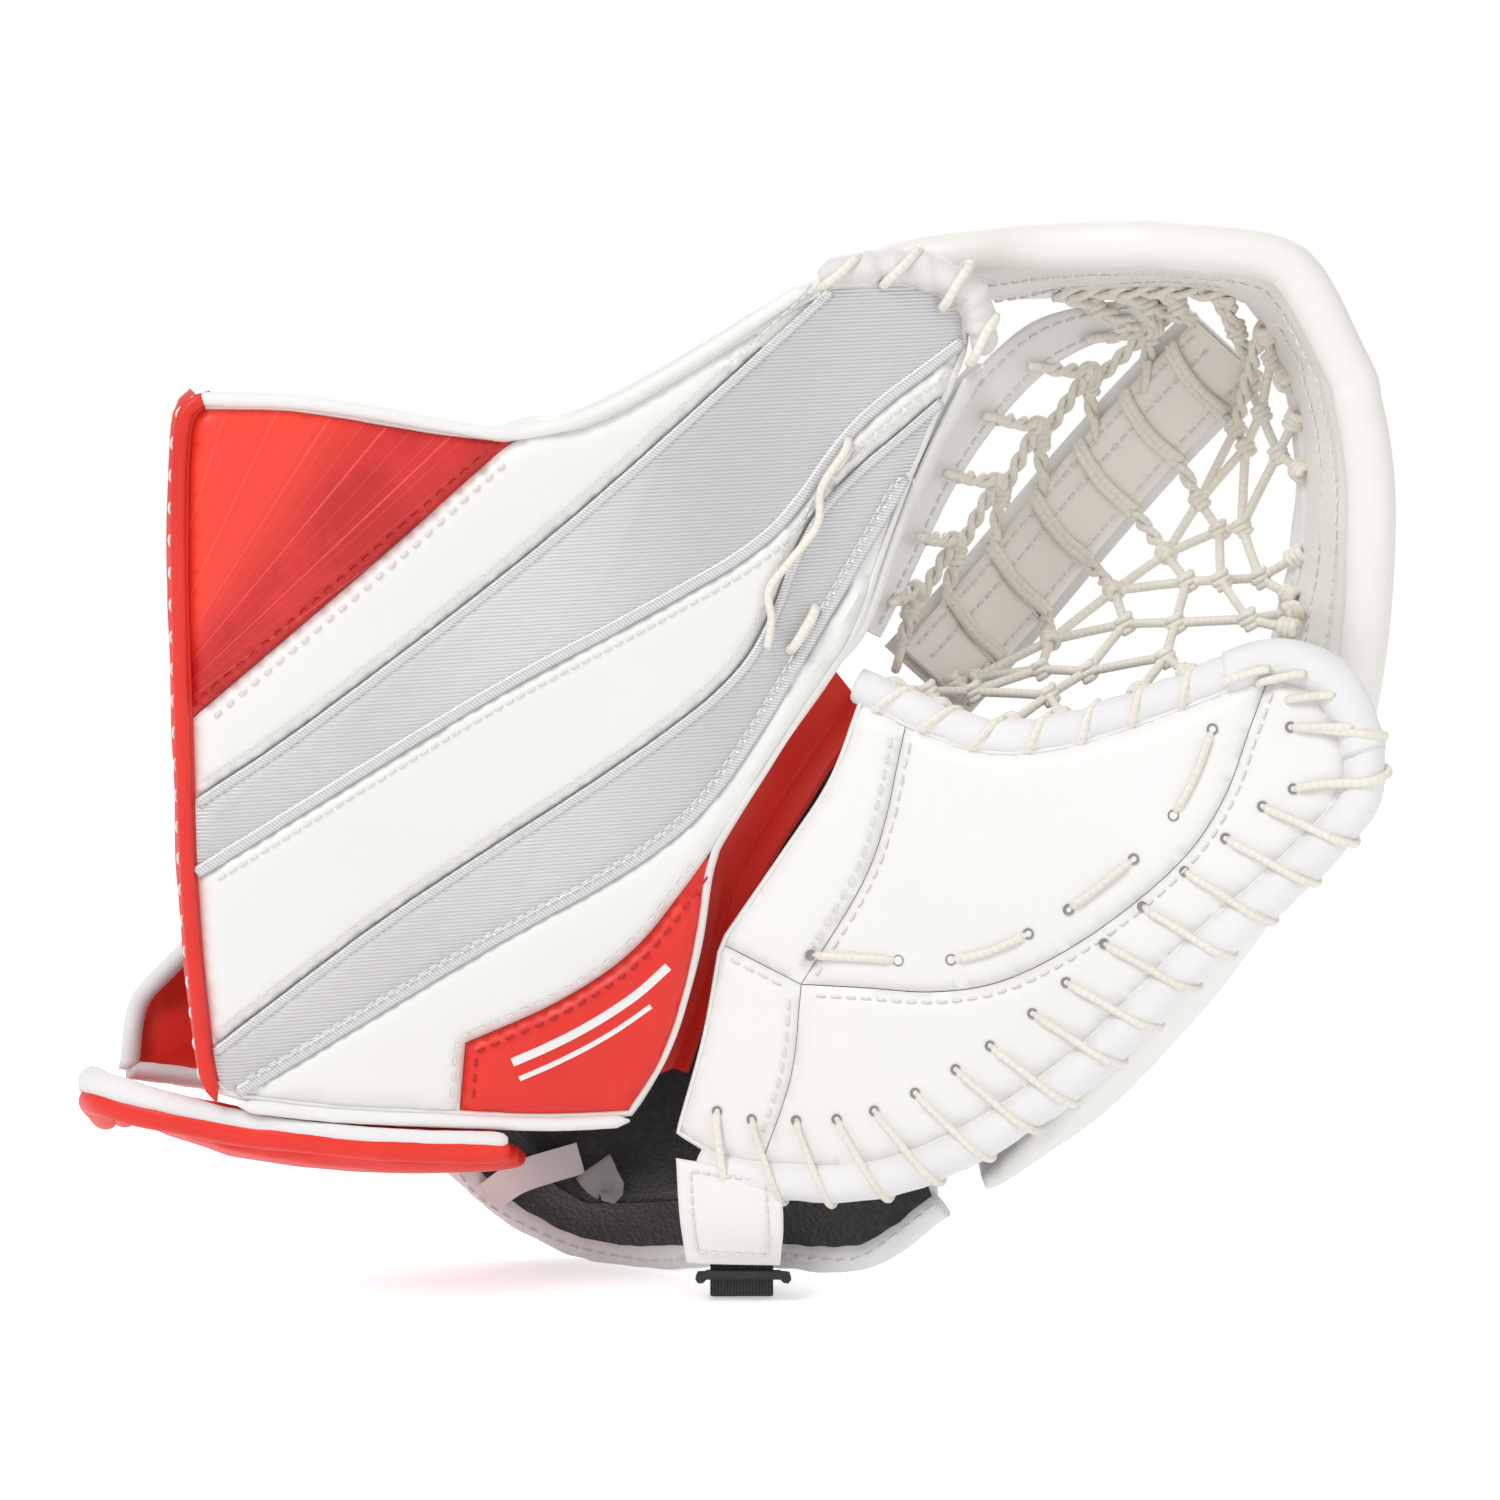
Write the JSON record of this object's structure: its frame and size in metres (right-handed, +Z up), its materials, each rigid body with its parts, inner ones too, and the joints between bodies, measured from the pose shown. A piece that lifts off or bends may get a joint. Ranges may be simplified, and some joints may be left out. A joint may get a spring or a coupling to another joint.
{
  "type": "goalie catch glove",
  "caption": "Padded catch glove for an ice goalie: stiff cuff and thumb board, cupped palm, laced net pocket inside a padded band, backhand pad and wrist strap.",
  "frame": {"origin": "on the floor the glove rests on, under the middle of its bounding box", "axes": "+X to the right as seen from the palm side, +Y from the palm side to the back of the hand, +Z up"},
  "size_m": [0.389, 0.1476, 0.3228],
  "materials": {
    "white_leather": "smooth semi-matt",
    "red_leather": "fine grain, satin",
    "silver_weave": "ribbed metallic weave",
    "white_nylon": "matt woven binding",
    "cream_lace": "waxed braid",
    "black_lining": "brushed knit",
    "foam": "closed cell",
    "stiff_plastic": "sheet",
    "black_plastic": "moulded satin"
  },
  "bodies": {
    "palm": {"palm_centre_panel": "white_leather", "palm_fold_panel": "white_leather", "palm_heel_panel": "white_leather", "palm_outer_panel": "white_leather", "palm_foam": "foam", "palm_lining": "black_lining", "finger_edge_roll": "white_nylon", "finger_edge_lace": "cream_lace", "pocket_edge_roll": "white_nylon", "pocket_edge_lace": "cream_lace", "fold_gusset": "red_leather", "index_stall": "black_lining", "middle_stall": "black_lining", "ring_stall": "black_lining", "little_stall": "black_lining", "finger_back_shell": "white_leather", "band_side_cover": "white_leather", "band_side_foam": "foam", "net_palm_side": "cream_lace"},
    "pocket": {"band_corner_cover": "white_leather", "band_corner_foam": "foam", "stem_strap_front": "white_leather", "stem_strap_back": "white_leather", "stem_stiffener": "stiff_plastic", "net_thumb_side": "cream_lace"},
    "thumb": {"cuff_corner_panel": "red_leather", "upper_white_panel": "white_leather", "upper_silver_panel": "silver_weave", "middle_white_panel": "white_leather", "lower_silver_panel": "silver_weave", "lower_white_panel": "white_leather", "heel_red_panel": "red_leather", "board_outer_foam": "foam", "board_stiffener": "stiff_plastic", "board_inner_foam": "foam", "board_lining": "black_lining", "cuff_end_wall": "red_leather", "board_top_wall": "white_leather", "cuff_end_piping": "red_leather", "board_top_piping": "white_leather", "board_bottom_piping": "white_leather", "thumb_stall": "black_lining", "thumb_back_pad": "white_leather", "thumb_tip_binding": "white_nylon", "thumb_side_wall": "white_leather", "thumb_skirt": "white_leather", "band_top_cover": "white_leather", "band_top_foam": "foam"},
    "backhand": {"backhand_pad": "white_leather", "backhand_lining": "black_lining", "backhand_binding": "white_nylon", "wrist_pad": "red_leather"},
    "wrist_tab": {"wrist_tab": "white_leather"},
    "tab_loop": {"strap_loop": "black_plastic"},
    "elastic": {"wrist_elastic": "black_lining"},
    "cuff_wrap": {"cuff_wrap": "red_leather", "cuff_wrap_binding": "white_nylon", "wrap_fastener": "black_lining"}
  },
  "joints": [
    {"name": "pocket_fold", "type": "hinge", "parent": "palm", "child": "pocket", "pos_m": [0.15773, 0.0475, 0.302], "axis": [0.5628, 0.1929, 0.8037], "range_deg": [0, 18], "deforming": ["net_palm_side", "fold_gusset"]},
    {"name": "closing_fold", "type": "hinge", "parent": "pocket", "child": "thumb", "pos_m": [-0.01727, -0.0125, 0.052], "axis": [0.5628, 0.1929, 0.8037], "range_deg": [0, 18], "deforming": ["net_thumb_side"]},
    {"name": "backhand_hinge", "type": "hinge", "parent": "palm", "child": "backhand", "pos_m": [0.06973, 0.0495, 0.1], "axis": [0.05, 0.25, -0.967], "range_deg": [0, 14]},
    {"name": "wrist_tab_hinge", "type": "hinge", "parent": "palm", "child": "wrist_tab", "pos_m": [0.00073, -0.0175, 0.046], "axis": [0.995, -0.0995, 0], "range_deg": [-60, 5]},
    {"name": "tab_loop_hinge", "type": "hinge", "parent": "wrist_tab", "child": "tab_loop", "pos_m": [0.00573, -0.018, 0.009], "axis": [1, 0, 0], "range_deg": [-25, 5]},
    {"name": "elastic_slide", "type": "slide", "parent": "tab_loop", "child": "elastic", "axis": [0, 0, -1], "range_m": [0, 0.004]},
    {"name": "cuff_wrap_hinge", "type": "hinge", "parent": "thumb", "child": "cuff_wrap", "pos_m": [-0.09227, -0.0285, 0.054], "axis": [-0.9836, -0.1701, 0.06], "range_deg": [0, 60]}
  ],
  "couplings": [
    {"joint": "pocket_fold", "follows": "closing_fold", "ratio": 1}
  ]
}
